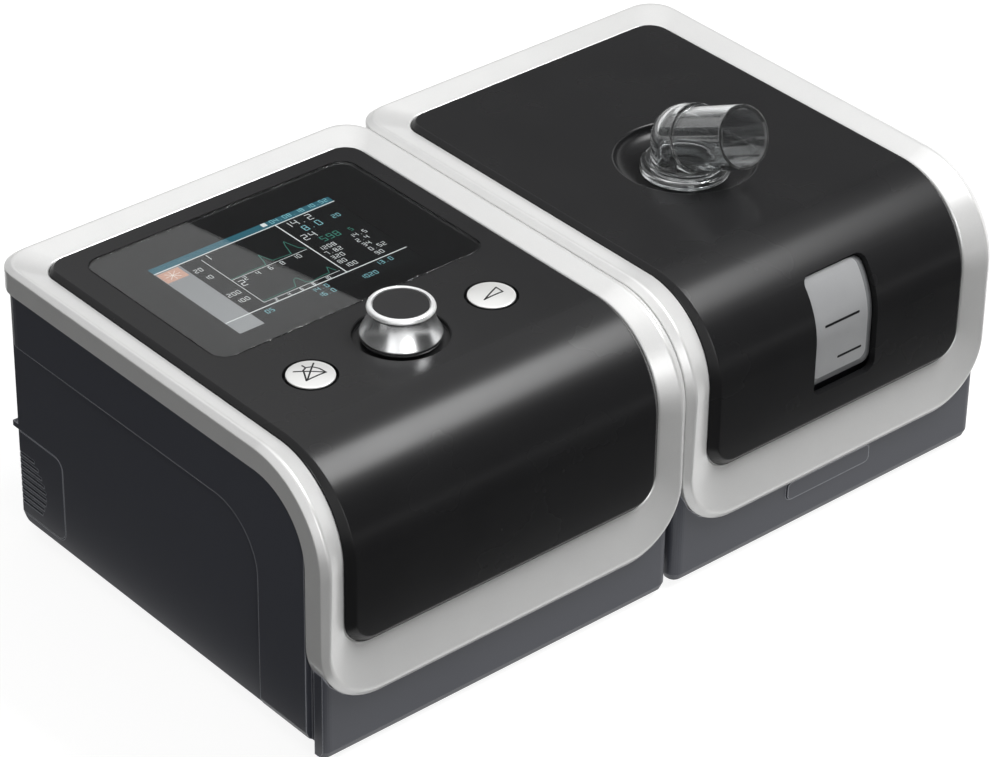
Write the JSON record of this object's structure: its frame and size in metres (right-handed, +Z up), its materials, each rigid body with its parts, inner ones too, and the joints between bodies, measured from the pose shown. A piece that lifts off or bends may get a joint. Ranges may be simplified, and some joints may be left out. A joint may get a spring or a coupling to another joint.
{
  "type": "bilevel positive airway pressure machine",
  "caption": "Bilevel positive airway pressure machine with colour display, control knob and buttons, docked to a heated humidifier with a hinged lid, level window and swivel hose elbow.",
  "frame": {"origin": "on the table, under the middle of the machine", "axes": "+X to the right across the front, -Y is the front with the controls, +Z up"},
  "size_m": [0.29, 0.1724, 0.1345],
  "materials": {
    "casing": "fine moulded texture, satin",
    "bezel_silver": "pearl silver paint on a plastic moulding",
    "gloss_panel": "gloss black",
    "display_glass": "clear, smoked edge",
    "screen": "dark screen",
    "circuit_board": "solder resist",
    "steel": "drawn and turned",
    "knob_metal": "turned and polished",
    "button_silver": "satin silver",
    "rubber": "soft, matt",
    "socket_black": "moulded",
    "inner_plastic": "moulded",
    "foam": "open-cell foam",
    "clear_plastic": "clear moulded",
    "smoke_plastic": "translucent grey"
  },
  "bodies": {
    "main_unit": {"main_base": "casing", "main_bezel": "bezel_silver", "main_panel": "gloss_panel", "display_lens": "display_glass", "screen_module": "screen", "control_board": "circuit_board", "encoder_body": "steel", "air_filter": "foam", "blower_housing": "inner_plastic", "blower_motor": "steel", "outlet_duct": "inner_plastic", "port_seal": "rubber", "main_board": "circuit_board", "power_socket": "socket_black", "main_foot_1": "rubber", "main_foot_2": "rubber", "main_foot_3": "rubber", "main_foot_4": "rubber", "humidifier_base": "casing", "heater_plate": "steel", "chamber_plate": "steel", "water_chamber": "clear_plastic", "chamber_cover": "clear_plastic", "hinge_pin_1": "steel", "hinge_pin_2": "steel", "humidifier_foot_1": "rubber", "humidifier_foot_2": "rubber", "humidifier_foot_3": "rubber", "humidifier_foot_4": "rubber"},
    "encoder": {"encoder_rotor": "steel"},
    "knob": {"encoder_shaft": "steel", "knob": "knob_metal", "knob_insert": "gloss_panel"},
    "mute_button": {"mute_button": "button_silver"},
    "ramp_button": {"ramp_button": "button_silver"},
    "filter_cap": {"filter_cap": "casing"},
    "impeller": {"impeller": "inner_plastic"},
    "latch_button": {"latch_button": "casing"},
    "lid": {"lid_bezel": "bezel_silver", "lid_panel": "gloss_panel", "lid_liner": "smoke_plastic", "lid_seal": "rubber", "water_window": "smoke_plastic", "elbow_collar": "clear_plastic"},
    "elbow": {"elbow": "clear_plastic"}
  },
  "joints": [
    {"name": "knob_turn", "type": "hinge", "parent": "main_unit", "child": "encoder", "pos_m": [-0.0704, -0.0317, 0.0995], "axis": [0, 0, 1], "continuous": true},
    {"name": "knob_press", "type": "slide", "parent": "encoder", "child": "knob", "axis": [0, 0, -1], "range_m": [0, 0.0006], "stiffness_N_per_m": 1000, "springref_m": -0.0006},
    {"name": "mute_press", "type": "slide", "parent": "main_unit", "child": "mute_button", "axis": [0, 0, -1], "range_m": [0, 0.001], "stiffness_N_per_m": 600, "springref_m": -0.0005},
    {"name": "ramp_press", "type": "slide", "parent": "main_unit", "child": "ramp_button", "axis": [0, 0, -1], "range_m": [0, 0.001], "stiffness_N_per_m": 600, "springref_m": -0.0005},
    {"name": "filter_cap_pull", "type": "slide", "parent": "main_unit", "child": "filter_cap", "axis": [-1, 0, 0], "range_m": [0, 0.012]},
    {"name": "impeller_spin", "type": "hinge", "parent": "main_unit", "child": "impeller", "pos_m": [-0.092, 0.022, 0.0345], "axis": [0, 0, 1], "continuous": true},
    {"name": "latch_press", "type": "slide", "parent": "main_unit", "child": "latch_button", "axis": [0, 1, 0], "range_m": [0, 0.002], "stiffness_N_per_m": 400, "springref_m": -0.001},
    {"name": "lid_open", "type": "hinge", "parent": "main_unit", "child": "lid", "pos_m": [0.0748, 0.0825, 0.093], "axis": [-1, 0, 0], "range_deg": [0, 95]},
    {"name": "elbow_swivel", "type": "hinge", "parent": "lid", "child": "elbow", "pos_m": [0.0748, -0.0062, 0.1045], "axis": [0, 0, 1], "continuous": true}
  ]
}
